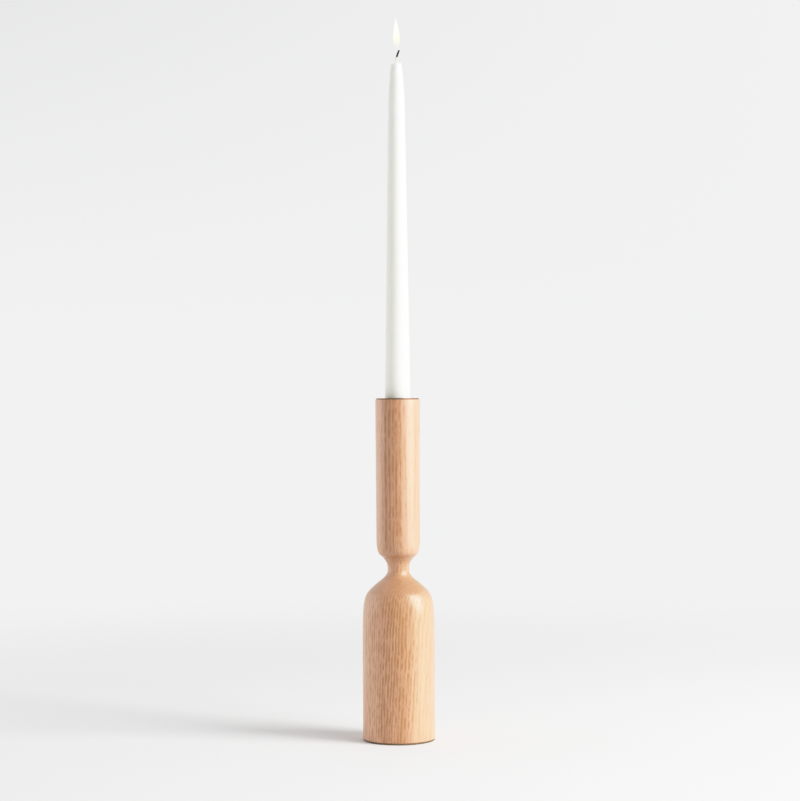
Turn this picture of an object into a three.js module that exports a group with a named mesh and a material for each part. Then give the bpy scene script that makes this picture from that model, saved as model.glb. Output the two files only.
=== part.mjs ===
// A turned oak candlestick in two pieces, drawn together by a threaded rod, with its taper candle.
// Millimetres, +Z up. The origin is the middle of the base, on the surface that the holder stands on.
import * as THREE from 'three';

// Overall sizes of the holder
const HOLDER_HEIGHT = 291.4;
const BASE_DIAMETER = 61.6;
const CREASE_HEIGHT = 154.4; // where the column meets the lower body

// Outline of the lower body
const SHOULDER_DROP = 69; // from the crease down to the start of the rounded shoulder
const SHOULDER_FULLNESS = 0.84; // upright tangent at the shoulder's start, as a share of its rise
const SHOULDER_ROUNDNESS = 0.86; // how far out its other tangent reaches, from the cove (0) to the side (1)
const COVE_DROP = 20; // from the crease down to the point where shoulder turns into cove
const COVE_SHARE = 0.38; // that point's place from the neck's radius (0) to the base's radius (1)
const COVE_SLOPE = THREE.MathUtils.degToRad(42.4); // slope there, above the horizontal
const COVE_LEAD = 0.6; // length of the cove's tangent at that point
const COVE_RISE = 5; // length of the cove's upright tangent at the neck
const NECK_DIAMETER = 18.4;
const NECK_DROP = 9.9; // from the crease down to the narrowest place
const CREASE_DIAMETER = 24.6;
const NECK_FLARE_SLOPE = THREE.MathUtils.degToRad(51);
const NECK_FLARE_REACH = 4.6; // length of both tangents of the flare between neck and crease
const BASE_EDGE_RADIUS = 0.6;

// Outline of the upper column
const COLUMN_TOP_DIAMETER = 38.3;
const COLUMN_FOOT_DIAMETER = 37.5;
const COLUMN_ROUND_HEIGHT = 16.1; // height of the rounded underside above the crease
const COLUMN_ROUND_FULLNESS = 14.4; // length of its upright tangent
const COLUMN_ROUND_SLOPE = THREE.MathUtils.degToRad(59.6); // slope where it meets the crease
const COLUMN_ROUND_REACH = 4.4;
const RIM_EDGE_RADIUS = 0.5;

// Joint between the two turned pieces
const TENON_DIAMETER = 15;
const TENON_LENGTH = 14;
const TENON_CLEARANCE = 0.3;
const TENON_CHAMFER = 1;

// Metal candle cup with its wide flange
const FLANGE_DIAMETER = 36.8;
const FLANGE_THICKNESS = 1;
const SOCKET_DIAMETER = 22.8;
const SOCKET_DEPTH = 18;
const CUP_WALL = 1.2;
const CUP_FLOOR = 2;
const CUP_LEAD_IN = 0.4; // chamfer round the mouth
const CUP_BOSS_DIAMETER = 12;
const CUP_BOSS_LENGTH = 12;
const CUP_CLEARANCE = 0.3;

// Threaded rod and the hardware under the base
const ROD_DIAMETER = 6;
const ROD_CHAMFER = 0.6;
const ROD_END_GAP = 1; // from the rod's top to the end of its hole in the cup's boss
const ROD_STICK_OUT = 0.5; // rod that shows below the nut
const THREAD_CLEARANCE = 0.15; // radial
const ROD_HOLE_CLEARANCE = 0.5; // radial, in wood
const METAL_HOLE_CLEARANCE = 0.25; // radial, in weight and washers
const NUT_ACROSS_FLATS = 10;
const NUT_THICKNESS = 5;
const SPRING_WASHER_DIAMETER = 11.8;
const SPRING_WASHER_THICKNESS = 1.6;
const SPRING_WASHER_SLOT = THREE.MathUtils.degToRad(14);
const FLAT_WASHER_DIAMETER = 16;
const FLAT_WASHER_THICKNESS = 1.4;

// Weight and pad in the base
const WEIGHT_DIAMETER = 44;
const WEIGHT_THICKNESS = 18;
const WEIGHT_CHAMFER = 1;
const WEIGHT_CLEARANCE = 0.4; // radial
const WEIGHT_POCKET_CLEARANCE = 1; // radial, around the flat washer
const WEIGHT_INSET = 0.6; // from the wood's underside up to the weight
const PAD_THICKNESS = 1.4;
const PAD_INSET = 0.4; // from the wood's edge
const PAD_EDGE = 0.3;

// Candle
const CANDLE_LENGTH = 303.8; // burnt a little from 305
const CANDLE_SIDE_GAP = 0.3; // radial, in the cup
const CANDLE_TIP_LENGTH = 55;
const CANDLE_TIP_START_DIAMETER = 14.8;
const CANDLE_TOP_DIAMETER = 9.4;
const CANDLE_RIM_RADIUS = 1.4;
const CANDLE_FOOT_CHAMFER = 0.8;
const MELT_POOL_DEPTH = 1.2;
const WICK_DIAMETER = 1.6;
const WICK_CLEARANCE = 0.3; // radial, in the wax
const WICK_FREE_LENGTH = 11.4; // above the wax
const WICK_LEAN = 2.9; // sideways reach of the tip

const SEAT_GAP = 0.05; // between faces that rest on each other
const ROUND_SEGMENTS = 48;
const SMALL_SEGMENTS = 24;
const WICK_SIDES = 8;
const WICK_STEPS = 8;
const ARC_STEPS = 4;
const SHOULDER_STEPS = 12;
const COVE_STEPS = 7;
const FLARE_STEPS = 6;
const COLUMN_ROUND_STEPS = 10;
const CANDLE_TIP_STEPS = 8;
const QUARTER_TURN = Math.PI / 2;

// Radii and heights that follow from the sizes above
const baseRadius = BASE_DIAMETER / 2;
const neckRadius = NECK_DIAMETER / 2;
const creaseRadius = CREASE_DIAMETER / 2;
const rodRadius = ROD_DIAMETER / 2;
const rodBoreRadius = rodRadius + ROD_HOLE_CLEARANCE;
const metalBoreRadius = rodRadius + METAL_HOLE_CLEARANCE;
const cupOuterRadius = SOCKET_DIAMETER / 2 + CUP_WALL;

const woodBottom = PAD_THICKNESS + SEAT_GAP;
const weightBottom = woodBottom + WEIGHT_INSET;
const weightTop = weightBottom + WEIGHT_THICKNESS;
const recessTop = weightTop + SEAT_GAP;
const rodBottom = weightBottom + ROD_STICK_OUT;
const nutBottom = rodBottom + ROD_STICK_OUT;
const springWasherBottom = nutBottom + NUT_THICKNESS + SEAT_GAP;
const flatWasherBottom = springWasherBottom + SPRING_WASHER_THICKNESS + SEAT_GAP;
const pocketTop = flatWasherBottom + FLAT_WASHER_THICKNESS + SEAT_GAP;

const columnBottom = CREASE_HEIGHT + SEAT_GAP;
const flangeBottom = HOLDER_HEIGHT - FLANGE_THICKNESS;
const columnTop = flangeBottom - SEAT_GAP;
const socketFloor = HOLDER_HEIGHT - SOCKET_DEPTH;
const cupBottom = socketFloor - CUP_FLOOR;
const bossBottom = cupBottom - CUP_BOSS_LENGTH;
const rodTop = cupBottom - ROD_END_GAP;

const candleFoot = socketFloor + SEAT_GAP;
const candleTop = candleFoot + CANDLE_LENGTH;
const wickBoreRadius = WICK_DIAMETER / 2 + WICK_CLEARANCE;

// A point of an outline
function at(r, z) {
  return new THREE.Vector2(r, z);
}

// Points along one cubic curve of an outline, from `start` to `end`. A tangent is the angle of its
// handle, from +R towards +Z, and the handle's length.
function curve(start, startTangent, end, endTangent, steps) {
  function handle(point, [angle, reach]) {
    return at(point.x + reach * Math.cos(angle), point.y + reach * Math.sin(angle));
  }

  const path = new THREE.CubicBezierCurve(start, handle(start, startTangent), handle(end, endTangent), end);
  return path.getPoints(steps);
}

// Points on a quarter circle or less, around (r, z)
function arc(r, z, radius, fromAngle, toAngle) {
  return new THREE.EllipseCurve(r, z, radius, radius, fromAngle, toAngle).getPoints(ARC_STEPS);
}

// A body turned around Z from an outline that runs counter-clockwise in the (R, Z) half plane
function turned(outline, segments) {
  const geometry = new THREE.LatheGeometry(outline, segments);
  geometry.rotateX(QUARTER_TURN);
  return geometry;
}

// A turned body with a hole right through: its outline closes on itself
function turnedRing(outline, segments) {
  return turned([...outline, outline[0].clone()], segments);
}

function extrudedUp(shape, bottom, height, curveSegments) {
  const geometry = new THREE.ExtrudeGeometry(shape, { depth: height, bevelEnabled: false, curveSegments });
  geometry.translate(0, 0, bottom);
  return geometry;
}

function lowerBody() {
  const coveStart = at(neckRadius + COVE_SHARE * (baseRadius - neckRadius), CREASE_HEIGHT - COVE_DROP);
  const shoulderStart = at(baseRadius, CREASE_HEIGHT - SHOULDER_DROP);
  const neck = at(neckRadius, CREASE_HEIGHT - NECK_DROP);
  const crease = at(creaseRadius, CREASE_HEIGHT);
  const shoulderRise = SHOULDER_FULLNESS * (SHOULDER_DROP - COVE_DROP);
  const shoulderReach = SHOULDER_ROUNDNESS * (shoulderStart.x - coveStart.x) / Math.cos(COVE_SLOPE);
  const recessRadius = WEIGHT_DIAMETER / 2 + WEIGHT_CLEARANCE;
  const tenonRadius = TENON_DIAMETER / 2;
  const tenonTop = CREASE_HEIGHT + TENON_LENGTH;
  const shoulderEnd = [-COVE_SLOPE, shoulderReach];
  const coveLead = [Math.PI - COVE_SLOPE, COVE_LEAD];
  const flareEnd = [Math.PI + NECK_FLARE_SLOPE, NECK_FLARE_REACH];

  return turnedRing([
    at(rodBoreRadius, recessTop),
    at(recessRadius, recessTop),
    at(recessRadius, woodBottom),
    ...arc(baseRadius - BASE_EDGE_RADIUS, woodBottom + BASE_EDGE_RADIUS, BASE_EDGE_RADIUS, -QUARTER_TURN, 0),
    ...curve(shoulderStart, [QUARTER_TURN, shoulderRise], coveStart, shoulderEnd, SHOULDER_STEPS),
    ...curve(coveStart, coveLead, neck, [-QUARTER_TURN, COVE_RISE], COVE_STEPS).slice(1),
    ...curve(neck, [QUARTER_TURN, NECK_FLARE_REACH], crease, flareEnd, FLARE_STEPS).slice(1),
    at(tenonRadius, CREASE_HEIGHT),
    at(tenonRadius, tenonTop - TENON_CHAMFER),
    at(tenonRadius - TENON_CHAMFER, tenonTop),
    at(rodBoreRadius, tenonTop),
  ], ROUND_SEGMENTS);
}

function upperColumn() {
  const columnRadius = COLUMN_TOP_DIAMETER / 2;
  const crease = at(creaseRadius, columnBottom);
  const roundTop = at(COLUMN_FOOT_DIAMETER / 2, columnBottom + COLUMN_ROUND_HEIGHT);
  const roundStart = [COLUMN_ROUND_SLOPE, COLUMN_ROUND_REACH];
  const socketRadius = TENON_DIAMETER / 2 + TENON_CLEARANCE;
  const socketTop = CREASE_HEIGHT + TENON_LENGTH + TENON_CLEARANCE;
  const cupBoreRadius = cupOuterRadius + CUP_CLEARANCE;
  const bossBoreRadius = CUP_BOSS_DIAMETER / 2 + CUP_CLEARANCE;
  const bossBoreBottom = bossBottom - CUP_CLEARANCE;
  const cupBoreBottom = cupBottom - CUP_CLEARANCE;

  return turnedRing([
    at(rodBoreRadius, socketTop),
    at(socketRadius, socketTop),
    at(socketRadius, columnBottom),
    ...curve(crease, roundStart, roundTop, [-QUARTER_TURN, COLUMN_ROUND_FULLNESS], COLUMN_ROUND_STEPS),
    ...arc(columnRadius - RIM_EDGE_RADIUS, columnTop - RIM_EDGE_RADIUS, RIM_EDGE_RADIUS, 0, QUARTER_TURN),
    at(cupBoreRadius, columnTop),
    at(cupBoreRadius, cupBoreBottom),
    at(bossBoreRadius, cupBoreBottom),
    at(bossBoreRadius, bossBoreBottom),
    at(rodBoreRadius, bossBoreBottom),
  ], ROUND_SEGMENTS);
}

function candleCup() {
  const socketRadius = SOCKET_DIAMETER / 2;
  const flangeRadius = FLANGE_DIAMETER / 2;
  const edge = FLANGE_THICKNESS / 2;
  const bossRadius = CUP_BOSS_DIAMETER / 2;
  const threadRadius = rodRadius + THREAD_CLEARANCE;

  return turned([
    at(0, cupBottom),
    at(threadRadius, cupBottom),
    at(threadRadius, bossBottom),
    at(bossRadius, bossBottom),
    at(bossRadius, cupBottom),
    at(cupOuterRadius, cupBottom),
    at(cupOuterRadius, flangeBottom),
    ...arc(flangeRadius - edge, flangeBottom + edge, edge, -QUARTER_TURN, QUARTER_TURN),
    at(socketRadius + CUP_LEAD_IN, HOLDER_HEIGHT),
    at(socketRadius, HOLDER_HEIGHT - CUP_LEAD_IN),
    at(socketRadius, socketFloor),
    at(0, socketFloor),
  ], ROUND_SEGMENTS);
}

function tieRod() {
  return turned([
    at(0, rodBottom),
    at(rodRadius - ROD_CHAMFER, rodBottom),
    at(rodRadius, rodBottom + ROD_CHAMFER),
    at(rodRadius, rodTop - ROD_CHAMFER),
    at(rodRadius - ROD_CHAMFER, rodTop),
    at(0, rodTop),
  ], SMALL_SEGMENTS);
}

function hexNut() {
  const cornerRadius = NUT_ACROSS_FLATS / Math.sqrt(3);
  const hexagon = new THREE.Shape();
  for (let corner = 0; corner < 6; corner += 1) {
    const angle = corner * Math.PI / 3;
    const x = cornerRadius * Math.cos(angle);
    const y = cornerRadius * Math.sin(angle);
    if (corner === 0) hexagon.moveTo(x, y);
    else hexagon.lineTo(x, y);
  }
  hexagon.closePath();
  hexagon.holes.push(new THREE.Path().absarc(0, 0, rodRadius + THREAD_CLEARANCE, 0, 2 * Math.PI));
  return extrudedUp(hexagon, nutBottom, NUT_THICKNESS, SMALL_SEGMENTS);
}

function springWasher() {
  const outerRadius = SPRING_WASHER_DIAMETER / 2;
  const from = SPRING_WASHER_SLOT / 2;
  const to = 2 * Math.PI - from;
  const splitRing = new THREE.Shape();
  splitRing.absarc(0, 0, outerRadius, from, to, false);
  splitRing.absarc(0, 0, metalBoreRadius, to, from, true);
  splitRing.closePath();
  return extrudedUp(splitRing, springWasherBottom, SPRING_WASHER_THICKNESS, SMALL_SEGMENTS);
}

function flatWasher() {
  const top = flatWasherBottom + FLAT_WASHER_THICKNESS;
  const outerRadius = FLAT_WASHER_DIAMETER / 2;
  return turnedRing([
    at(metalBoreRadius, flatWasherBottom),
    at(outerRadius, flatWasherBottom),
    at(outerRadius, top),
    at(metalBoreRadius, top),
  ], SMALL_SEGMENTS);
}

function baseWeight() {
  const radius = WEIGHT_DIAMETER / 2;
  const pocketRadius = FLAT_WASHER_DIAMETER / 2 + WEIGHT_POCKET_CLEARANCE;
  return turnedRing([
    at(metalBoreRadius, pocketTop),
    at(pocketRadius, pocketTop),
    at(pocketRadius, weightBottom),
    at(radius - WEIGHT_CHAMFER, weightBottom),
    at(radius, weightBottom + WEIGHT_CHAMFER),
    at(radius, weightTop - WEIGHT_CHAMFER),
    at(radius - WEIGHT_CHAMFER, weightTop),
    at(metalBoreRadius, weightTop),
  ], ROUND_SEGMENTS);
}

function basePad() {
  const radius = baseRadius - PAD_INSET;
  return turned([
    at(0, 0),
    at(radius - PAD_EDGE, 0),
    at(radius, PAD_EDGE),
    at(radius, PAD_THICKNESS),
    at(0, PAD_THICKNESS),
  ], ROUND_SEGMENTS);
}

function candle() {
  const footRadius = SOCKET_DIAMETER / 2 - CANDLE_SIDE_GAP;
  const tipStart = at(CANDLE_TIP_START_DIAMETER / 2, candleTop - CANDLE_TIP_LENGTH);
  const rimCentre = at(CANDLE_TOP_DIAMETER / 2 - CANDLE_RIM_RADIUS, candleTop - CANDLE_RIM_RADIUS);
  const tipEnd = at(CANDLE_TOP_DIAMETER / 2, rimCentre.y);
  const sideSlope = Math.atan2(tipStart.y - candleFoot, tipStart.x - footRadius);
  const tipSlope = Math.atan2(-CANDLE_TIP_LENGTH, footRadius - tipEnd.x);
  const tipReach = CANDLE_TIP_LENGTH / 3;

  return turnedRing([
    at(wickBoreRadius, candleFoot),
    at(footRadius - CANDLE_FOOT_CHAMFER, candleFoot),
    at(footRadius, candleFoot + CANDLE_FOOT_CHAMFER),
    ...curve(tipStart, [sideSlope, tipReach], tipEnd, [tipSlope, tipReach], CANDLE_TIP_STEPS),
    ...arc(rimCentre.x, rimCentre.y, CANDLE_RIM_RADIUS, 0, QUARTER_TURN).slice(1),
    at(wickBoreRadius, candleTop - MELT_POOL_DEPTH),
  ], ROUND_SEGMENTS);
}

// The wick's middle line. Its first step is the straight run inside the wax, and the other steps
// share the free end, which leans over in a parabola.
class WickPath extends THREE.Curve {
  getPoint(t) {
    const step = t * WICK_STEPS;
    const inWax = Math.min(1, step);
    const free = Math.max(0, (step - 1) / (WICK_STEPS - 1));
    const foot = candleFoot + WICK_CLEARANCE;
    const straight = THREE.MathUtils.lerp(foot, candleTop, inWax);
    return new THREE.Vector3(WICK_LEAN * free * free, 0, straight + WICK_FREE_LENGTH * free);
  }

  // Steps follow the path's own parameter, not its length
  getUtoTmapping(u) {
    return u;
  }
}

function wick() {
  const section = new THREE.Shape();
  section.absarc(0, 0, WICK_DIAMETER / 2, 0, 2 * Math.PI);
  return new THREE.ExtrudeGeometry(section, {
    steps: WICK_STEPS,
    curveSegments: WICK_SIDES,
    extrudePath: new WickPath(),
  });
}

function finish(color, roughness, metalness) {
  return new THREE.MeshStandardMaterial({ color, roughness, metalness });
}

const pieces = [
  ['lower_body', lowerBody(), finish('#cfa27b', 0.5, 0)],
  ['upper_column', upperColumn(), finish('#d1a680', 0.5, 0)],
  ['candle_cup', candleCup(), finish('#957659', 0.4, 0.9)],
  ['tie_rod', tieRod(), finish('#9a9c9e', 0.35, 1)],
  ['hex_nut', hexNut(), finish('#a5a7a8', 0.35, 1)],
  ['spring_washer', springWasher(), finish('#8d8f91', 0.4, 1)],
  ['flat_washer', flatWasher(), finish('#aeb0b1', 0.35, 1)],
  ['base_weight', baseWeight(), finish('#4a4a4b', 0.7, 0.8)],
  ['base_pad', basePad(), finish('#766150', 0.95, 0)],
  ['candle', candle(), finish('#f6f4ea', 0.45, 0)],
  ['wick', wick(), finish('#4d463e', 0.95, 0)],
];

const candlestick = new THREE.Group();
for (const [name, geometry, material] of pieces) {
  const mesh = new THREE.Mesh(geometry, material);
  mesh.name = name;
  candlestick.add(mesh);
}

export default candlestick;
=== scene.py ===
"""The looks of a turned oak candlestick with a lit taper, built round its CAD frame. Metres, +Z up."""

from math import atan2, cos, pi, radians, sin

import bpy
import numpy as np
from mathutils import Euler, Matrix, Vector


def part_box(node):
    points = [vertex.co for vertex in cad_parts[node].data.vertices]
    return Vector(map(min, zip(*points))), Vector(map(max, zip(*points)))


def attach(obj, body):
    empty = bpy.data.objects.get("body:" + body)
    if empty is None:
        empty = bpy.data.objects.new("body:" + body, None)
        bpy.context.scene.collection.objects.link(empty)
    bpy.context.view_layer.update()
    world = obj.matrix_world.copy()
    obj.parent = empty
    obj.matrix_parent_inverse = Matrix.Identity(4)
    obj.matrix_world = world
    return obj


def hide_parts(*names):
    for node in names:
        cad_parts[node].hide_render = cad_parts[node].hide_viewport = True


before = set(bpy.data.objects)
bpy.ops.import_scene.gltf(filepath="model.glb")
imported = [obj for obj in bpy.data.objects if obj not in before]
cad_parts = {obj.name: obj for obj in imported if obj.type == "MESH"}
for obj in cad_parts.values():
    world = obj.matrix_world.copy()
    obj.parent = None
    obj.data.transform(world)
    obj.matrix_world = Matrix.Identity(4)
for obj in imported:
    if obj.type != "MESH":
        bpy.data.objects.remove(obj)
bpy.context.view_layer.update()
MM = 0.001

# Where the frame puts each piece
BODY_LOW, BODY_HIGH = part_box("lower_body")
COLUMN_LOW, COLUMN_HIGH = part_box("upper_column")
CUP_LOW, CUP_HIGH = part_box("candle_cup")
PAD_LOW, PAD_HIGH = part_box("base_pad")
CANDLE_LOW, CANDLE_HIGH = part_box("candle")
WICK_LOW, WICK_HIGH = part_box("wick")
WEIGHT_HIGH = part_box("base_weight")[1]
CREASE_Z = COLUMN_LOW.z

# The lower body, its shoulder and its neck
SHOULDER_DROP = 69 * MM
SHOULDER_FULLNESS = 0.84
SHOULDER_ROUNDNESS = 0.86
COVE_DROP = 20 * MM
COVE_SHARE = 0.38
COVE_SLOPE = radians(42.4)
COVE_LEAD = 0.6 * MM
COVE_RISE = 5 * MM
NECK_RADIUS = 9.2 * MM
NECK_DROP = 9.9 * MM
CREASE_RADIUS = 12.3 * MM
CREASE_GAP = 0.05 * MM
FLARE_SLOPE = radians(51)
FLARE_REACH = 4.6 * MM
BASE_EDGE = 0.6 * MM
WEIGHT_CLEARANCE = 0.4 * MM
WEIGHT_GAP = 0.05 * MM
TENON_RADIUS = 7.5 * MM
TENON_CHAMFER = 1 * MM
ROD_BORE_RADIUS = 3.5 * MM

# The upper column
COLUMN_FOOT_RADIUS = 18.75 * MM
COLUMN_ROUND_HEIGHT = 16.1 * MM
COLUMN_ROUND_FULLNESS = 14.4 * MM
COLUMN_ROUND_SLOPE = radians(59.6)
COLUMN_ROUND_REACH = 4.4 * MM
RIM_EDGE = 0.5 * MM
FIT = 0.3 * MM

# The cup and the pad
SOCKET_RADIUS = 11.4 * MM
SOCKET_DEPTH = 18 * MM
CUP_WALL = 1.2 * MM
CUP_FLOOR = 2 * MM
CUP_LIP = 0.4 * MM
BOSS_RADIUS = 6 * MM
THREAD_RADIUS = 3.15 * MM
FLANGE_THICKNESS = 1 * MM
PAD_EDGE = 0.35 * MM

# The candle, its wick and its flame
CANDLE_TIP_LENGTH = 55 * MM
CANDLE_TIP_START_RADIUS = 7.4 * MM
CANDLE_TOP_RADIUS = 4.7 * MM
CANDLE_RIM = 1.4 * MM
CANDLE_FOOT_EDGE = 0.8 * MM
MELT_POOL_DEPTH = 1.2 * MM
MELT_POOL_LEAD = 0.6 * MM
MELT_POOL_FLOOR = 1.2 * MM
WICK_BORE_RADIUS = 1.1 * MM
WICK_LEAN = 2.9 * MM
WICK_CLEAN_LENGTH = 4.4 * MM
WICK_CHAR_BLEND = 1.6 * MM
STRANDS = 3
STRAND_RADIUS = 0.6 * MM
STRAND_WEAVE = 0.35 * MM
STRAND_PITCH = 3.6 * MM
STRAND_FLATNESS = 0.8
WICK_BURNT_SHARE = 0.2
WICK_BEND_START = 3 * MM
WICK_STEP = 1.6 * MM
FLAME_RADIUS = 3.2 * MM
FLAME_HEIGHT = 27.4 * MM
FLAME_FOOT = 1 * MM
FLAME_STRENGTH = 1.7
FLAME_CORE_RADIUS = 2.4 * MM
FLAME_CORE_INSET = 3 * MM
FLAME_BELLY = 0.72
FLAME_FULLNESS = 0.85
FLAME_TAPER = 0.25
FLAME_LEAN = 0.35 * WICK_LEAN
FLAME_ASIDE = 0.2 * MM
FLAME_TIP_RADIUS = 0.02 * MM

# The tree's middle, as a line beside the candlestick
PITH = (-0.095, 0.017)

# Camera, stage and light
CAMERA_DISTANCE = 1.678
CAMERA_HEIGHT = 0.2894
CAMERA_ASIDE = 0.00205
CAMERA_ROLL = radians(0.26)
CAMERA_LENS = 88.3
FLOOR_RADIUS = 3.2
FLOOR_FADE_REACH = 3.0
ROOM_LIGHT = 0.65
ROOM_LIGHT_SLOPE = (-0.06, 0.32, -0.16)
BACKDROP_LIGHT = 1.03
BACKDROP_SHADE = 0.17
BACKDROP_COLOUR = (0.997, 1, 1.003)
FILM_WHITE = 2.0

RIGHT_ANGLE = pi / 2


# ---------------------------------------------------------------- outlines and meshes

def curve(start, start_tangent, end, end_tangent, steps):
    """Points of a cubic from start to end. A tangent is its handle's angle and length."""
    def handle(point, tangent):
        angle, reach = tangent
        return np.array([point[0] + reach * cos(angle), point[1] + reach * sin(angle)])

    first, last = np.array(start), np.array(end)
    near, far = handle(start, start_tangent), handle(end, end_tangent)
    t = np.linspace(0, 1, steps + 1)[:, None]
    s = 1 - t
    points = s ** 3 * first + 3 * s ** 2 * t * near + 3 * s * t * t * far + t ** 3 * last
    return [tuple(p) for p in points]


def arc(centre, radius, start, end, steps=8):
    """Points of a round stretch, from angle start to angle end."""
    angles = np.linspace(start, end, steps + 1)
    return [(centre[0] + radius * cos(a), centre[1] + radius * sin(a)) for a in angles]


def straight(start, end, steps):
    """Points along a straight stretch, both ends left out."""
    across, up = end[0] - start[0], end[1] - start[1]
    return [(start[0] + across * s, start[1] + up * s) for s in np.linspace(0, 1, steps + 1)[1:-1]]


def mesh_object(name, vertices, faces, sharp_above=radians(35)):
    mesh = bpy.data.meshes.new(name)
    mesh.from_pydata([tuple(v) for v in vertices], [], faces)
    mesh.validate()
    mesh.polygons.foreach_set("use_smooth", [True] * len(mesh.polygons))
    mesh.set_sharp_from_angle(angle=sharp_above)
    piece = bpy.data.objects.new(name, mesh)
    bpy.context.scene.collection.objects.link(piece)
    return piece


def turned(name, outline, segments, closed=False):
    """A body turned about Z. Its outline of (radius, height) runs counter-clockwise, and either closes
    on itself or starts and ends on the axis."""
    on_axis = 1e-7
    angles = np.linspace(0, 2 * pi, segments, endpoint=False)
    vertices, rings = [], []
    for radius, height in outline:
        first = len(vertices)
        if radius < on_axis:
            vertices.append((0, 0, height))
            rings.append([first] * segments)
        else:
            vertices += [(radius * cos(a), radius * sin(a), height) for a in angles]
            rings.append(list(range(first, first + segments)))
    faces = []
    following = rings[1:] + rings[:1] if closed else rings[1:]
    for low, high in zip(rings, following):
        for i in range(segments):
            j = (i + 1) % segments
            corners = list(dict.fromkeys([low[i], low[j], high[j], high[i]]))
            if len(corners) > 2:
                faces.append(corners)
    return mesh_object(name, vertices, faces)


def swept(name, paths, sides):
    """Tubes along paths. Each path is a list of (point, radius)."""
    vertices, faces = [], []
    for path in paths:
        points = [Vector(p) for p, _ in path]
        last = len(points) - 1
        across = Vector((0, 1, 0))
        first = len(vertices)
        for k, (_, radius) in enumerate(path):
            ahead = points[min(k + 1, last)] - points[max(k - 1, 0)]
            ahead.normalize()
            across = (across - ahead * across.dot(ahead)).normalized()
            other = ahead.cross(across)
            for s in range(sides):
                a = 2 * pi * s / sides
                vertices.append(points[k] + (across * cos(a) + other * sin(a)) * radius)
        for k in range(last):
            for s in range(sides):
                a, b = first + k * sides + s, first + k * sides + (s + 1) % sides
                faces.append([a, b, b + sides, a + sides])
        faces.append([first + s for s in reversed(range(sides))])
        faces.append([first + last * sides + s for s in range(sides)])
    return mesh_object(name, vertices, faces)


# ---------------------------------------------------------------- nodes

class Tree:
    """Short names for building one material's nodes."""

    def __init__(self, name):
        self.material = bpy.data.materials.new(name)
        self.material.use_nodes = True
        self.tree = self.material.node_tree
        self.shader = self.tree.nodes["Principled BSDF"]

    def plug(self, value, socket):
        if isinstance(value, bpy.types.NodeSocket):
            self.tree.links.new(value, socket)
        else:
            socket.default_value = value

    def add(self, kind, inputs=(), **settings):
        made = self.tree.nodes.new(kind)
        for key, value in settings.items():
            setattr(made, key, value)
        for key, value in dict(inputs).items():
            self.plug(value, made.inputs[key])
        return made

    def set(self, **sockets):
        for key, value in sockets.items():
            self.plug(value, self.shader.inputs[key.replace("_", " ")])

    def place(self):
        return self.add("ShaderNodeTexCoord").outputs["Object"]

    def normal(self):
        return self.add("ShaderNodeTexCoord").outputs["Normal"]

    def height(self):
        return self.split(self.place())[2]

    def maths(self, operation, a, b=0.0, clamp=False):
        return self.add("ShaderNodeMath", {0: a, 1: b}, operation=operation, use_clamp=clamp).outputs[0]

    def times(self, a, b):
        return self.maths("MULTIPLY", a, b)

    def plus(self, a, b, clamp=False):
        return self.maths("ADD", a, b, clamp)

    def minus(self, a, b):
        return self.maths("SUBTRACT", a, b)

    def over(self, a, b, clamp=False):
        return self.maths("DIVIDE", a, b, clamp)

    def absolute(self, a):
        return self.maths("ABSOLUTE", a)

    def line(self, value, start, rise):
        """start + rise * value."""
        return self.plus(start, self.times(value, rise))

    def share(self, value, start, end):
        """How far value has come from start to end, held between 0 and 1."""
        return self.over(self.minus(value, start), end - start, clamp=True)

    def length(self, x, y):
        return self.maths("SQRT", self.plus(self.times(x, x), self.times(y, y)))

    def scaled(self, vector, factors):
        return self.add("ShaderNodeVectorMath", {0: vector, 1: factors}, operation="MULTIPLY").outputs[0]

    def moved(self, vector, offset):
        return self.add("ShaderNodeVectorMath", {0: vector, 1: offset}, operation="ADD").outputs[0]

    def split(self, vector):
        return self.add("ShaderNodeSeparateXYZ", {0: vector}).outputs

    def joined(self, x, y, z):
        return self.add("ShaderNodeCombineXYZ", {0: x, 1: y, 2: z}).outputs[0]

    def noise(self, vector, scale=1.0, detail=2.0, roughness=0.5, distortion=0.0, output="Fac"):
        inputs = {"Vector": vector, "Scale": scale, "Detail": detail, "Roughness": roughness}
        inputs["Distortion"] = distortion
        return self.add("ShaderNodeTexNoise", inputs).outputs[output]

    def ramp(self, factor, stops, interpolation="LINEAR"):
        """Colours or greys at places from 0 to 1."""
        made = self.add("ShaderNodeValToRGB", {0: factor})
        made.color_ramp.interpolation = interpolation
        elements = made.color_ramp.elements
        while len(elements) < len(stops):
            elements.new(0.5)
        for element, (place, colour) in zip(elements, stops):
            element.position = place
        for element, (place, colour) in zip(elements, stops):
            grey = not isinstance(colour, tuple)
            element.color = (colour, colour, colour, 1) if grey else (*colour, 1)
        return made.outputs[0]

    def mix(self, factor, a, b, blend="MIX"):
        made = self.add("ShaderNodeMix", data_type="RGBA", blend_type=blend)
        a, b = ((*v, 1) if isinstance(v, tuple) else v for v in (a, b))
        for value, socket in ((factor, made.inputs[0]), (a, made.inputs[6]), (b, made.inputs[7])):
            self.plug(value, socket)
        return made.outputs[2]

    def bump(self, height, distance, strength=1.0):
        inputs = {"Height": height, "Distance": distance, "Strength": strength}
        self.set(Normal=self.add("ShaderNodeBump", inputs).outputs[0])


# ---------------------------------------------------------------- oak

# Repeats per metre of the wood's figure, across the grain twice and then along it
WANDER_SCALES = (18, 18, 6)
PATCH_SCALES = (30, 30, 7)
RIPPLE_SCALES = (90, 90, 80)
TINT_SCALES = (260, 260, 14)
DASH_SCALES = (420, 420, 120)
FIBRE_SCALES = (800, 800, 12)
PORE_SCALES = (1050, 1050, 95)

# Repeats of the rays per radian of turn, and per metre outwards and along the pith
RAY_SCALES = (110.0, 60.0, 95.0)

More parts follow.
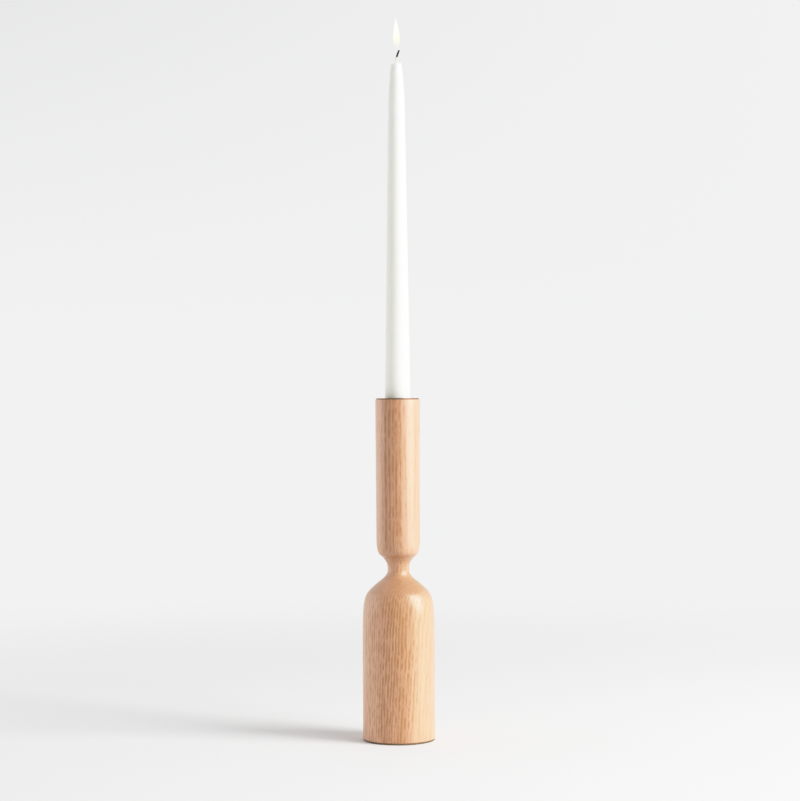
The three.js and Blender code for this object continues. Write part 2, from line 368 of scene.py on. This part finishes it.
WANDER_REACH = 8 * MM
YEARS_UNEVEN_SCALE = 110.0
YEARS_UNEVEN_REACH = 0.9
LEVEL_FADE = 0.8
CALM_STRENGTH = 0.4
OIL_DEPTH = 0.08
PATCH_DEPTH = 0.3
PORE_DEPTH = 0.75
RAY_DEPTH = 0.12
# Darkening of up- and down-facing surfaces: real end grain and painted shade
END_GRAIN_AND_SHADE_DEPTH = 0.75
WOOD_RELIEF = 0.06 * MM


def tinted(colour, factors):
    return tuple(part * factor for part, factor in zip(colour, factors))


def trunk_place(t, grain, to_pith, ripple_reach):
    """x, y and z from the pith line. The rings wander slowly up the trunk, and a short ripple breaks
    their lines into dashes."""
    bent = grain
    unsteady = ((WANDER_SCALES, 0.5, WANDER_REACH), (RIPPLE_SCALES, 0.6, ripple_reach))
    for scales, roughness, reach in unsteady:
        shift = t.noise(t.scaled(grain, scales), roughness=roughness, output="Color")
        shift = t.scaled(t.moved(shift, (-0.5, -0.5, -0.5)), (reach, reach, 0))
        bent = t.moved(bent, shift)
    return t.split(t.moved(bent, to_pith))


def early_wood(t, distance, ring_width):
    """Year after year of growth: 1 in the open-pored early wood, 0 in the dense late wood."""
    uneven = t.noise(t.joined(t.times(distance, YEARS_UNEVEN_SCALE), 0.0, 0.0), detail=1)
    year = t.plus(t.over(distance, ring_width), t.times(uneven, YEARS_UNEVEN_REACH))
    stops = [(0.0, 0.55), (0.16, 1.0), (0.32, 0.85), (0.62, 0.08), (0.82, 0.0), (1.0, 0.55)]
    return t.ramp(t.maths("FRACT", year), stops, "EASE")


def darker_years_and_shade(t, distance, band):
    """They start softly and end at once. The band is partly darker wood and partly painted shade down the
    front, ending sharply where the light begins.
    """
    stops = [(0.0, 0.0), (0.3, 0.8), (0.7, 1.0), (0.8, 0.3), (1.0, 0.0)]
    return t.ramp(t.share(distance, *band), stops, "EASE")


def ring_clearness(t, x, y):
    """Where the surface lies flat along a ring, or level across the trunk, its line spreads and fades."""
    normal = t.normal()
    outward = t.add("ShaderNodeVectorMath", {0: t.joined(x, y, 0.0)}, operation="NORMALIZE").outputs[0]
    dot = t.add("ShaderNodeVectorMath", {0: normal, 1: outward}, operation="DOT_PRODUCT")
    flat = t.absolute(dot.outputs["Value"])
    level = t.absolute(t.split(normal)[2])
    clear = t.ramp(flat, [(0.0, 1.0), (0.4, 1.0), (0.8, 0.35), (1.0, 0.2)], "EASE")
    return t.times(clear, t.minus(1.0, t.times(level, LEVEL_FADE)))


def pore_rows(t, grain, early, dark_years_and_shade, clearness, calm):
    """Dashes crowded in the early wood, which grow calm between the two heights of calm."""
    dashes = t.noise(t.scaled(grain, DASH_SCALES), roughness=0.6)
    dashes = t.ramp(dashes, [(0.0, 0.05), (0.37, 0.1), (0.62, 1.0), (1.0, 1.0)], "EASE")
    rows = t.times(t.times(early, dashes), clearness)
    rows = t.times(rows, t.line(dark_years_and_shade, 0.5, 0.5))
    limits = {0: t.height(), 1: calm[0], 2: calm[1], 3: 1.0, 4: CALM_STRENGTH}
    return t.times(rows, t.add("ShaderNodeMapRange", limits).outputs[0])


def single_pores(t, grain, rows):
    pores = t.noise(t.scaled(grain, PORE_SCALES), roughness=0.65)
    pores = t.ramp(pores, [(0.0, 0.0), (0.5, 0.0), (0.68, 1.0), (1.0, 1.0)], "EASE")
    return t.times(pores, t.line(rows, 0.15, 0.85))


def wood_rays(t, x, y, z, distance):
    """Flecks of the rays that run out from the pith."""
    turn = t.maths("ARCTAN2", y, x)
    around, outwards, along = RAY_SCALES
    place = t.joined(t.times(turn, around), t.times(distance, outwards), t.times(z, along))
    return t.ramp(t.noise(place, detail=1), [(0.0, 0.0), (0.6, 0.0), (0.7, 1.0), (1.0, 1.0)], "EASE")


def streak_tint(t, grain):
    """Streaks that lean to straw or to rose."""
    streaks = t.noise(t.scaled(t.moved(grain, (0.7, 0.3, 0.1)), TINT_SCALES))
    straw, plain, rose = (1.0, 1.02, 0.96), (1.0, 1.0, 1.0), (1.015, 0.965, 0.99)
    return t.ramp(streaks, [(0.3, straw), (0.5, plain), (0.7, rose)])


def oak(name, *, pale, deep, pith, lean, offset, ring_width, ripple_reach, ring_depth, fibre_depth,
        band, band_and_shade_depth, calm):
    """Oiled oak. Its rings are cylinders about the pith line, which runs up beside the piece, and its
    pores, fibres and rays lie along that line. pith is the line's (x, y) and lean its slant. The years
    between the two distances of band are darker and coarser than the others: partly the wood's own
    figure, partly painted shade down the front. The ring lines grow calm between the two heights of calm."""
    t = Tree(name)
    grain = t.add("ShaderNodeMapping", {"Vector": t.place(), "Rotation": lean}).outputs[0]
    grain = t.moved(grain, offset)
    to_pith = (-pith[0] - offset[0], -pith[1] - offset[1], 0)
    x, y, z = trunk_place(t, grain, to_pith, ripple_reach)
    distance = t.length(x, y)
    early = early_wood(t, distance, ring_width)
    dark_years_and_shade = darker_years_and_shade(t, distance, band)
    rows = pore_rows(t, grain, early, dark_years_and_shade, ring_clearness(t, x, y), calm)
    pores = single_pores(t, grain, rows)
    rays = wood_rays(t, x, y, z, distance)
    fibre = t.noise(t.scaled(grain, FIBRE_SCALES), detail=3, roughness=0.6)
    patches = t.noise(t.scaled(grain, PATCH_SCALES), detail=1)

    depth = t.times(rows, ring_depth)
    depth = t.plus(depth, t.times(t.minus(fibre, 0.5), fibre_depth))
    depth = t.plus(depth, t.times(t.minus(patches, 0.5), PATCH_DEPTH))
    # Darker years: the wood's own band, and painted shade down the front
    depth = t.plus(depth, t.times(dark_years_and_shade, band_and_shade_depth))
    depth = t.plus(depth, OIL_DEPTH, clamp=True)
    colour = t.mix(depth, pale, deep)
    colour = t.mix(t.times(pores, PORE_DEPTH), colour, tinted(deep, (0.68, 0.58, 0.5)))
    colour = t.mix(t.times(rays, RAY_DEPTH), colour, tinted(deep, (0.85, 0.85, 0.85)))
    colour = t.mix(1.0, colour, streak_tint(t, grain), "MULTIPLY")

    # End grain on slopes drinks more oil, so it is deeper there; this darkening of surfaces that face up
    # or down is also painted shade, strongest on the shoulder
    steep = t.maths("POWER", t.absolute(t.split(t.normal())[2]), 1.5)
    colour = t.mix(t.times(steep, END_GRAIN_AND_SHADE_DEPTH), colour, tinted(deep, (0.94, 1.02, 1.35)))

    rough = t.plus(t.line(pores, 0.36, 0.25), t.times(fibre, 0.12))
    t.set(Base_Color=colour, Roughness=rough, Coat_Weight=1.0, Coat_Roughness=0.42)
    relief = t.plus(t.times(pores, -1.0), t.times(rows, -0.3))
    relief = t.plus(relief, t.times(fibre, 0.25))
    t.bump(relief, WOOD_RELIEF, 0.5)
    return t.material


# ---------------------------------------------------------------- the other materials

def bronzed_metal():
    t = Tree("bronzed_metal")
    place = t.place()
    x, y, z = t.split(place)
    lathe_place = t.joined(t.times(t.length(x, y), 9000.0), 0.0, t.times(z, 3000.0))
    tarnish = t.noise(place, 220, 4, 0.6)
    dark, middle, light = (0.22, 0.13, 0.072), (0.3, 0.18, 0.1), (0.4, 0.26, 0.155)
    colour = t.ramp(tarnish, [(0.3, dark), (0.55, middle), (0.75, light)])
    t.set(Base_Color=colour, Metallic=0.85, Roughness=t.line(tarnish, 0.28, 0.25))
    t.bump(t.noise(lathe_place), 0.01 * MM, 0.5)
    return t.material


def steel():
    t = Tree("zinc_steel")
    place = t.place()
    spangle = t.add("ShaderNodeTexVoronoi", {"Vector": place, "Scale": 900.0}).outputs["Color"]
    smear = t.noise(place, 350, 3)
    zinc = t.ramp(smear, [(0.3, (0.5, 0.5, 0.5)), (0.7, (0.66, 0.66, 0.64))])
    colour = t.mix(0.18, zinc, spangle, "SOFT_LIGHT")
    t.set(Base_Color=colour, Metallic=1.0, Roughness=t.line(smear, 0.25, 0.3))
    t.bump(smear, 0.01 * MM, 0.3)
    return t.material


def cast_iron():
    t = Tree("cast_iron")
    place = t.place()
    grit = t.noise(place, 1400, 4, 0.7)
    rust = t.noise(place, 160, 4, 0.6)
    black, grey, brown = (0.05, 0.05, 0.052), (0.08, 0.078, 0.076), (0.13, 0.07, 0.04)
    colour = t.ramp(rust, [(0.35, black), (0.62, grey), (0.75, brown)])
    t.set(Base_Color=colour, Metallic=0.7, Roughness=t.line(grit, 0.5, 0.3))
    t.bump(grit, 0.12 * MM, 0.7)
    return t.material


def felt():
    t = Tree("pad_felt")
    place = t.place()
    matted = t.noise(t.scaled(place, (900, 900, 900)), 1, 5, 0.75, 1.5)
    clumps = t.noise(place, 160, 3)
    both = t.plus(t.times(matted, 0.7), t.times(clumps, 0.3))
    dark, middle, light = (0.12, 0.085, 0.05), (0.2, 0.14, 0.085), (0.28, 0.2, 0.13)
    colour = t.ramp(both, [(0.3, dark), (0.55, middle), (0.75, light)])
    rough = t.line(matted, 0.85, 0.15)
    t.set(Base_Color=colour, Roughness=rough, Sheen_Weight=0.15, Sheen_Roughness=0.5)
    t.bump(matted, 0.2 * MM, 0.8)
    return t.material


def wax():
    t = Tree("candle_wax")
    place = t.place()
    cloud = t.noise(t.scaled(place, (140, 140, 30)), 1, 3)
    bloom = t.noise(place, 900, 3)
    colour = t.ramp(cloud, [(0.3, (0.975, 0.97, 0.84)), (0.7, (0.99, 0.985, 0.88))])
    t.set(Base_Color=colour, Roughness=t.line(bloom, 0.36, 0.16))
    t.set(Subsurface_Weight=0.8, Subsurface_Scale=12 * MM, Subsurface_Radius=(1.0, 0.95, 0.75))
    ripples = t.noise(t.scaled(place, (260, 260, 60)), 1, 2)
    t.bump(ripples, 0.08 * MM, 0.5)
    return t.material


def wick_cotton():
    """Waxed white cotton, charred above the place where it leaves the wax behind."""
    t = Tree("wick_cotton")
    place = t.place()
    char_start = CANDLE_HIGH.z + WICK_CLEAN_LENGTH
    above = t.over(t.minus(t.split(place)[2], char_start), WICK_CHAR_BLEND)
    ragged = t.noise(place, 1200, 2)
    above = t.plus(above, t.minus(ragged, 0.5), clamp=True)
    fibres = t.noise(t.scaled(place, (3500, 3500, 900)), 1, 2)
    cotton = t.ramp(fibres, [(0.3, (0.74, 0.7, 0.62)), (0.7, (0.9, 0.88, 0.82))])
    char = t.ramp(fibres, [(0.3, (0.012, 0.011, 0.01)), (0.7, (0.05, 0.045, 0.04))])
    t.set(Base_Color=t.mix(above, cotton, char), Roughness=t.line(above, 0.6, 0.35))
    t.bump(fibres, 0.05 * MM, 0.8)
    return t.material


def flame_light(name, low, high, opacity):
    """Glowing gas: clear and faint at its foot, pale yellow white above."""
    t = Tree(name)
    rise = t.share(t.height(), low, high)
    foot, yellow, cream, tip = (0.9, 0.72, 0.6), (0.97, 1.0, 0.5), (1.0, 0.985, 0.8), (1.0, 1.0, 0.9)
    glow = t.ramp(rise, [(0.0, foot), (0.3, yellow), (0.6, cream), (1.0, tip)])
    clearness = [(0.0, 0.0), (0.15, 0.1), (0.5, 1.0), (0.8, 1.0), (1.0, 0.5)]
    solid = t.ramp(rise, [(place, grey * opacity) for place, grey in clearness])
    t.set(Base_Color=(0, 0, 0, 1), Roughness=1.0, Specular_IOR_Level=0.0)
    t.set(Emission_Color=glow, Emission_Strength=FLAME_STRENGTH, Alpha=solid)
    return t.material


def floor_paint():
    """White paper that thins out to nothing well away from the object."""
    t = Tree("floor_paper")
    x, y, z = t.split(t.place())
    away = t.share(t.length(x, y), 0.0, FLOOR_FADE_REACH)
    fade = t.ramp(away, [(0.1, 1.0), (0.42, 0.0)], "EASE")
    paper = t.ramp(t.noise(t.place(), 300, 2), [(0.0, 0.85), (1.0, 0.88)])
    t.set(Base_Color=paper, Roughness=0.9, Specular_IOR_Level=0.1, Alpha=fade)
    return t.material


# ---------------------------------------------------------------- the pieces

def paint(piece, material):
    piece.data.materials.clear()
    piece.data.materials.append(material)


def finish_piece(piece, body, node, material):
    paint(piece, material)
    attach(piece, body)
    if node:
        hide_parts(node)


def body_oak():
    return oak("body_oak", pale=(0.735, 0.41, 0.248), deep=(0.46, 0.21, 0.071), pith=PITH,
               lean=(0.012, -0.047, 0), offset=(0.31, 0.17, 0.05), ring_width=2.4 * MM,
               ripple_reach=2 * MM, ring_depth=1.75, fibre_depth=1.6, band=(0.0845, 0.1215),
               band_and_shade_depth=0.36, calm=(0.12, 0.142))


def turned_body():
    """The wide lower body with its shoulder, pinched neck and tenon."""
    radius = BODY_HIGH.x
    bottom = BODY_LOW.z
    recess_radius = WEIGHT_HIGH.x + WEIGHT_CLEARANCE
    recess_top = WEIGHT_HIGH.z + WEIGHT_GAP
    tenon_top = BODY_HIGH.z
    cove = (NECK_RADIUS + COVE_SHARE * (radius - NECK_RADIUS), CREASE_Z - COVE_DROP)
    shoulder = (radius, CREASE_Z - SHOULDER_DROP)
    neck = (NECK_RADIUS, CREASE_Z - NECK_DROP)
    crease = (CREASE_RADIUS, CREASE_Z - CREASE_GAP)
    rise = SHOULDER_FULLNESS * (SHOULDER_DROP - COVE_DROP)
    reach = SHOULDER_ROUNDNESS * (radius - cove[0]) / cos(COVE_SLOPE)
    edge_centre = (radius - BASE_EDGE, bottom + BASE_EDGE)
    outline = [(ROD_BORE_RADIUS, recess_top), (recess_radius, recess_top), (recess_radius, bottom)]
    outline += arc(edge_centre, BASE_EDGE, -RIGHT_ANGLE, 0)
    outline += straight((radius, bottom + BASE_EDGE), shoulder, steps=12)
    outline += curve(shoulder, (RIGHT_ANGLE, rise), cove, (-COVE_SLOPE, reach), steps=48)
    outline += curve(cove, (pi - COVE_SLOPE, COVE_LEAD), neck, (-RIGHT_ANGLE, COVE_RISE), steps=24)[1:]
    outline += curve(neck, (RIGHT_ANGLE, FLARE_REACH), crease, (pi + FLARE_SLOPE, FLARE_REACH),
                     steps=20)[1:]
    outline += [(TENON_RADIUS, crease[1]), (TENON_RADIUS, tenon_top - TENON_CHAMFER)]
    outline += [(TENON_RADIUS - TENON_CHAMFER, tenon_top), (ROD_BORE_RADIUS, tenon_top)]
    piece = turned("turned_body", outline, segments=160, closed=True)
    finish_piece(piece, "stand", "lower_body", body_oak())


def column_oak():
    above_the_column = (1.0, 2.0)
    return oak("column_oak", pale=(0.75, 0.425, 0.275), deep=(0.465, 0.212, 0.076), pith=PITH,
               lean=(0.006, 0, 0), offset=(0.11, 0.42, 0.3), ring_width=3.2 * MM,
               ripple_reach=1 * MM, ring_depth=0.75, fibre_depth=1.3, band=(0.086, 0.1105),
               band_and_shade_depth=0.44, calm=above_the_column)


def turned_column():
    """The upper column, bored for the cup, its boss, the rod and the tenon."""
    top = COLUMN_HIGH.z
    radius = COLUMN_HIGH.x
    cup_bottom = CUP_HIGH.z - SOCKET_DEPTH - CUP_FLOOR - FIT
    cup_radius = SOCKET_RADIUS + CUP_WALL + FIT
    boss_bottom = CUP_LOW.z - FIT
    socket_top = BODY_HIGH.z + FIT
    socket_radius = TENON_RADIUS + FIT
    crease = (CREASE_RADIUS, CREASE_Z)
    round_top = (COLUMN_FOOT_RADIUS, CREASE_Z + COLUMN_ROUND_HEIGHT)
    rim_centre = (radius - RIM_EDGE, top - RIM_EDGE)
    outline = [(ROD_BORE_RADIUS, socket_top), (socket_radius, socket_top), (socket_radius, CREASE_Z)]
    outline += curve(crease, (COLUMN_ROUND_SLOPE, COLUMN_ROUND_REACH), round_top,
                     (-RIGHT_ANGLE, COLUMN_ROUND_FULLNESS), steps=36)
    outline += straight(round_top, (radius, rim_centre[1]), steps=16)
    outline += arc(rim_centre, RIM_EDGE, 0, RIGHT_ANGLE)
    outline += [(cup_radius, top), (cup_radius, cup_bottom), (BOSS_RADIUS + FIT, cup_bottom)]
    outline += [(BOSS_RADIUS + FIT, boss_bottom), (ROD_BORE_RADIUS, boss_bottom)]
    piece = turned("turned_column", outline, segments=144, closed=True)
    finish_piece(piece, "stand", "upper_column", column_oak())


def cup_and_flange():
    top = CUP_HIGH.z
    edge = FLANGE_THICKNESS / 2
    floor = top - SOCKET_DEPTH
    under = floor - CUP_FLOOR
    outer = SOCKET_RADIUS + CUP_WALL
    outline = [(0, under), (THREAD_RADIUS, under), (THREAD_RADIUS, CUP_LOW.z)]
    outline += [(BOSS_RADIUS - CUP_LIP, CUP_LOW.z), (BOSS_RADIUS, CUP_LOW.z + CUP_LIP)]
    outline += [(BOSS_RADIUS, under), (outer - CUP_LIP, under), (outer, under + CUP_LIP)]
    outline += [(outer, top - FLANGE_THICKNESS)]
    outline += arc((CUP_HIGH.x - edge, top - edge), edge, -RIGHT_ANGLE, RIGHT_ANGLE)
    outline += arc((SOCKET_RADIUS + CUP_LIP, top - CUP_LIP), CUP_LIP, RIGHT_ANGLE, pi)
    outline += [(SOCKET_RADIUS, floor + CUP_LIP), (SOCKET_RADIUS - CUP_LIP, floor), (0, floor)]
    piece = turned("cup_and_flange", outline, segments=128)
    finish_piece(piece, "stand", "candle_cup", bronzed_metal())


def felt_pad():
    radius, top = PAD_HIGH.x, PAD_HIGH.z
    halfway = radius * 0.5
    outline = [(0, PAD_LOW.z), (halfway, PAD_LOW.z)]
    outline += arc((radius - PAD_EDGE, PAD_LOW.z + PAD_EDGE), PAD_EDGE, -RIGHT_ANGLE, 0)
    outline += arc((radius - PAD_EDGE, top - PAD_EDGE), PAD_EDGE, 0, RIGHT_ANGLE)
    outline += [(halfway, top), (0, top)]
    piece = turned("felt_pad", outline, segments=128)
    finish_piece(piece, "stand", "base_pad", felt())


def wax_taper():
    """The candle: a straight taper, an ogive tip and a shallow pool of melt round the wick."""
    foot_radius = CANDLE_HIGH.x
    bottom, top = CANDLE_LOW.z, CANDLE_HIGH.z
    foot_top = (foot_radius, bottom + CANDLE_FOOT_EDGE)
    tip_start = (CANDLE_TIP_START_RADIUS, top - CANDLE_TIP_LENGTH)
    rim_centre = (CANDLE_TOP_RADIUS - CANDLE_RIM, top - CANDLE_RIM)
    tip_end = (CANDLE_TOP_RADIUS, rim_centre[1])
    side = atan2(tip_start[1] - bottom, tip_start[0] - foot_radius)
    tip = atan2(-CANDLE_TIP_LENGTH, foot_radius - CANDLE_TOP_RADIUS)
    reach = CANDLE_TIP_LENGTH / 3
    pool = (WICK_BORE_RADIUS, top - MELT_POOL_DEPTH)
    outline = [(WICK_BORE_RADIUS, bottom), (foot_radius - CANDLE_FOOT_EDGE, bottom), foot_top]
    outline += straight(foot_top, tip_start, steps=60)
    outline += curve(tip_start, (side, reach), tip_end, (tip, reach), steps=30)
    outline += arc(rim_centre, CANDLE_RIM, 0, RIGHT_ANGLE)[1:]
    outline += curve((rim_centre[0], top), (pi, MELT_POOL_LEAD), pool, (0, MELT_POOL_FLOOR), steps=8)[1:]
    piece = turned("wax_taper", outline, segments=96, closed=True)
    finish_piece(piece, "taper", "candle", wax())


def wick_path(strand, heights):
    """One strand, straight inside the wax, and leaning over and burnt thinner above it."""
    wax_top = CANDLE_HIGH.z
    free = WICK_HIGH.z - wax_top
    path = []
    for height in heights:
        along = max(0.0, (height - wax_top) / free)
        angle = 2 * pi * (height / STRAND_PITCH + strand / STRANDS)
        x = WICK_LEAN * along ** 2 + STRAND_WEAVE * cos(angle)
        y = STRAND_WEAVE * sin(2 * angle) * STRAND_FLATNESS
        burnt = 1 - WICK_BURNT_SHARE * along ** 4
        path.append(((x, y, height), STRAND_RADIUS * burnt))
    return path


def braided_wick():
    fine_from = CANDLE_HIGH.z - WICK_BEND_START
    heights = [*np.arange(WICK_LOW.z, fine_from, WICK_STEP)]
    heights += [*np.linspace(fine_from, WICK_HIGH.z - STRAND_RADIUS, 64)]
    paths = [wick_path(strand, heights) for strand in range(STRANDS)]
    piece = swept("braided_wick", paths, sides=8)
    finish_piece(piece, "taper", "wick", wick_cotton())


def flame_layer(name, widest, bottom, top, opacity):
    """A drop of light, which leans a little from the wick's tip back over the candle."""
    path = []
    for share in np.linspace(0, 1, 40):
        swell = sin(pi * share ** FLAME_BELLY) ** FLAME_FULLNESS * (1 - FLAME_TAPER * share)
        x = FLAME_LEAN * (1 - share) - FLAME_ASIDE
        radius = max(FLAME_TIP_RADIUS, widest * swell)
        path.append(((x, 0, bottom + (top - bottom) * share), radius))
    piece = swept(name, [path], sides=32)
    piece.visible_shadow = False
    finish_piece(piece, "taper", None, flame_light(name, bottom, top, opacity))


def flame():
    low, high = WICK_HIGH.z - FLAME_FOOT, WICK_HIGH.z + FLAME_HEIGHT
    core_low, core_high = low + FLAME_CORE_INSET, high - FLAME_CORE_INSET
    flame_layer("flame", FLAME_RADIUS, low, high, opacity=0.4)
    flame_layer("flame_core", FLAME_CORE_RADIUS, core_low, core_high, opacity=0.8)


def hidden_hardware():
    metal = steel()
    for node in ("tie_rod", "hex_nut", "spring_washer", "flat_washer"):
        paint(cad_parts[node], metal)
    paint(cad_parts["base_weight"], cast_iron())


# ---------------------------------------------------------------- stage, light and camera

def stage():
    rings = 24
    outline = [(0, 0)] + [(FLOOR_RADIUS * k / rings, 0) for k in range(1, rings + 1)]
    floor = turned("studio_floor", outline, segments=64)
    paint(floor, floor_paint())


def studio_world():
    """A white studio: the backdrop as seen, and the light from all round that falls on the object."""
    world = bpy.data.worlds.new("studio")
    bpy.context.scene.world = world
    world.use_nodes = True
    tree = world.node_tree
    direction = tree.nodes.new("ShaderNodeTexCoord").outputs["Generated"]

    def made(kind, inputs, **settings):
        node = tree.nodes.new(kind)
        for key, value in settings.items():
            setattr(node, key, value)
        for key, value in inputs.items():
            if isinstance(value, bpy.types.NodeSocket):
                tree.links.new(value, node.inputs[key])
            else:
                node.inputs[key].default_value = value
        return node

    def maths(operation, a, b):
        return made("ShaderNodeMath", {0: a, 1: b}, operation=operation).outputs[0]

    def mapped(value, start, end, low, high):
        limits = {0: value, 1: start, 2: end, 3: low, 4: high}
        return made("ShaderNodeMapRange", limits).outputs[0]

    def background(colour, strength):
        return made("ShaderNodeBackground", {"Color": (*colour, 1), "Strength": strength}).outputs[0]

    slope = made("ShaderNodeVectorMath", {0: direction, 1: ROOM_LIGHT_SLOPE}, operation="DOT_PRODUCT")
    room = maths("ADD", slope.outputs["Value"], ROOM_LIGHT)

    # The backdrop is a little darker towards its upper left
    sides = made("ShaderNodeSeparateXYZ", {0: direction}).outputs
    leftward = mapped(sides["X"], 0.2, -0.2, 0.0, BACKDROP_SHADE)
    upward = mapped(sides["Z"], 0.04, 0.2, 0.0, 1.0)
    seen = maths("SUBTRACT", BACKDROP_LIGHT, maths("MULTIPLY", leftward, upward))

    by_camera = made("ShaderNodeLightPath", {}).outputs["Is Camera Ray"]
    lit, backdrop = background((1, 1, 1), room), background(BACKDROP_COLOUR, seen)
    either = made("ShaderNodeMixShader", {0: by_camera, 1: lit, 2: backdrop})
    tree.links.new(either.outputs[0], tree.nodes["World Output"].inputs[0])


def area_light(name, *, azimuth, elevation, distance, size, power, aim_height):
    """A softbox that faces the candlestick's axis. Azimuth is measured from +X towards +Y."""
    data = bpy.data.lights.new(name, "AREA")
    data.shape = "RECTANGLE"
    data.size, data.size_y = size
    data.energy = power
    lamp = bpy.data.objects.new(name, data)
    bpy.context.scene.collection.objects.link(lamp)
    direction = Vector((cos(elevation) * cos(azimuth), cos(elevation) * sin(azimuth), sin(elevation)))
    lamp.location = Vector((0, 0, aim_height)) + direction * distance
    lamp.rotation_euler = direction.to_track_quat("Z", "Y").to_euler()
    lamp.visible_camera = False


def lights():
    area_light("key_softbox", azimuth=radians(-21.5), elevation=radians(25), distance=2.4,
               size=(1.05, 1.8), power=64, aim_height=0.12)
    area_light("high_card", azimuth=radians(-40), elevation=radians(36), distance=2.2,
               size=(1.0, 1.4), power=15, aim_height=0.16)
    area_light("left_card", azimuth=radians(168), elevation=radians(6), distance=1.6,
               size=(1.2, 1.2), power=5, aim_height=0.46)


def camera():
    data = bpy.data.cameras.new("camera")
    data.lens = CAMERA_LENS
    made = bpy.data.objects.new("camera", data)
    bpy.context.scene.collection.objects.link(made)
    made.location = (CAMERA_ASIDE, -CAMERA_DISTANCE, CAMERA_HEIGHT)
    made.rotation_euler = Euler((RIGHT_ANGLE, CAMERA_ROLL, 0))
    data.clip_start, data.clip_end = 0.01, 50
    bpy.context.scene.camera = made


def developed_like_film():
    """A straight response up to the mid tones, then a soft shoulder that holds the whites."""
    view = bpy.context.scene.view_settings
    view.view_transform = "Standard"
    view.look = "None"
    view.use_curve_mapping = True
    curve_map = view.curve_mapping
    curve_map.white_level = (FILM_WHITE, FILM_WHITE, FILM_WHITE)
    points = curve_map.curves[3].points
    shoulder = [(0.0, 0.0), (0.3, 0.3), (0.6, 0.605), (0.8, 0.765)]
    shoulder += [(1.0, 0.875), (1.25, 0.95), (1.6, 0.99), (FILM_WHITE, 1.0)]
    while len(points) < len(shoulder):
        points.new(0.5, 0.5)
    for point, (scene_light, print_light) in zip(points, shoulder):
        point.location = (scene_light / FILM_WHITE, print_light)
    curve_map.update()


camera()
stage()
studio_world()
lights()
turned_body()
turned_column()
cup_and_flange()
felt_pad()
wax_taper()
braided_wick()
flame()
hidden_hardware()

developed_like_film()
